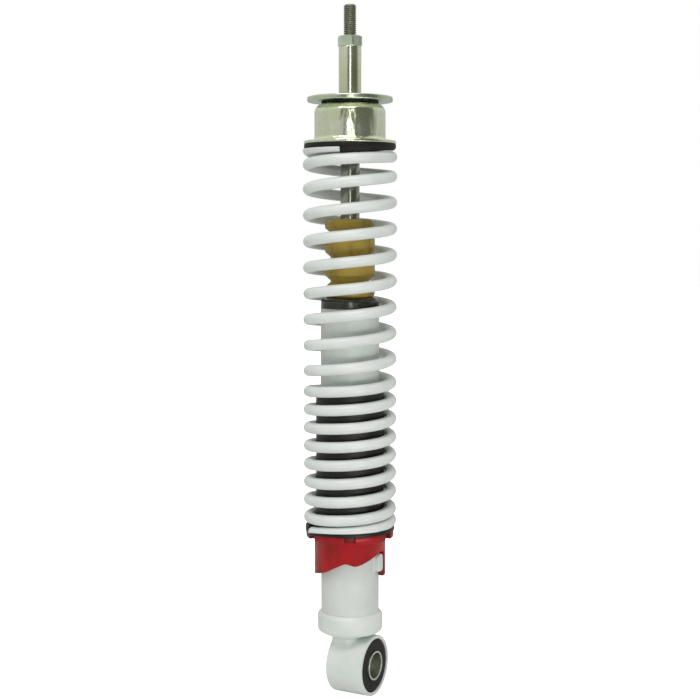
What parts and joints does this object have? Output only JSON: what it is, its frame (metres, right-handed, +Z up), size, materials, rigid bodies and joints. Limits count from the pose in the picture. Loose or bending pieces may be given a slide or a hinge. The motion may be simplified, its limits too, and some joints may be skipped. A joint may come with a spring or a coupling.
{
  "type": "rear shock absorber",
  "caption": "Motorcycle rear shock absorber: damper with a coil spring over it, cam preload collar, rubber-bushed lower eye and threaded upper stud.",
  "frame": {"origin": "where the damper's axis meets the axis of the lower eye's bore", "axes": "+Z up along the rod towards the threaded stud, +X along the eye's bore towards its longer side"},
  "size_m": [0.0592, 0.0592, 0.4371],
  "materials": {
    "white_paint": "satin grey-white paint",
    "spring_coat": "satin off-white powder coat",
    "red_paint": "gloss red coat",
    "yellow_zinc": "bright zinc plate with a faint yellow-green tint",
    "plain_steel": "turned or ground steel",
    "dark_steel": "dark phosphate finish",
    "chrome": "hard chrome, ground and polished",
    "aluminium": "machined",
    "bronze": "plain bronze",
    "black_rubber": "moulded",
    "seal_rubber": "moulded",
    "black_plastic": "moulded, satin",
    "bump_foam": "microcellular polyurethane, ochre",
    "band_plastic": "low-friction, bronze filled"
  },
  "bodies": {
    "damper_body": {"outer_tube": "white_paint", "end_cap": "white_paint", "eye_ring": "white_paint", "eye_bush_rubber": "black_rubber", "cam_lugs": "white_paint", "base_valve_body": "plain_steel", "base_valve_plate": "plain_steel", "base_valve_bolt": "plain_steel", "base_valve_nut": "plain_steel", "inner_tube": "plain_steel", "rod_guide": "aluminium", "guide_bush": "bronze", "guide_o_ring": "seal_rubber", "oil_seal": "seal_rubber", "seal_washer": "plain_steel", "dust_wiper": "seal_rubber", "head_cap": "dark_steel", "bump_stop": "bump_foam", "coil_spring": "spring_coat"},
    "rod_assembly": {"piston_rod": "chrome", "stop_circlip": "dark_steel", "rebound_collar": "plain_steel", "rebound_rubber": "seal_rubber", "valve_washer": "plain_steel", "check_plate": "plain_steel", "piston": "aluminium", "piston_band": "band_plastic", "shim_stack": "plain_steel", "shim_clamp_washer": "plain_steel", "piston_nut": "plain_steel", "shoulder_washer": "yellow_zinc", "upper_cup": "yellow_zinc", "upper_isolator": "black_plastic", "cushion_washer": "black_rubber", "top_disc": "yellow_zinc", "spacer_sleeve": "yellow_zinc", "jam_nut": "yellow_zinc"},
    "lower_seat": {"lower_seat_ring": "black_plastic", "spring_guide_sleeve": "black_plastic"},
    "preload_collar": {"preload_collar": "red_paint"},
    "bush_sleeve": {"eye_bush_sleeve": "plain_steel"}
  },
  "joints": [
    {"name": "rod_slide", "type": "slide", "parent": "damper_body", "child": "rod_assembly", "axis": [0, 0, -1], "range_m": [0, 0.075], "stiffness_N_per_m": 10400, "springref_m": -0.02, "deforming": ["coil_spring", "bump_stop"]},
    {"name": "seat_lift", "type": "slide", "parent": "damper_body", "child": "lower_seat", "axis": [0, 0, 1], "range_m": [0, 0.01645]},
    {"name": "collar_turn", "type": "hinge", "parent": "lower_seat", "child": "preload_collar", "pos_m": [0, 0, 0.073], "axis": [0, 0, 1], "range_deg": [0, 137]},
    {"name": "bush_twist", "type": "hinge", "parent": "damper_body", "child": "bush_sleeve", "pos_m": [0, 0, 0], "axis": [1, 0, 0], "range_deg": [-12, 12], "stiffness_Nm_per_rad": 2}
  ],
  "couplings": [
    {"joint": "seat_lift", "follows": "collar_turn", "m_per_rad": 0.0068755}
  ]
}
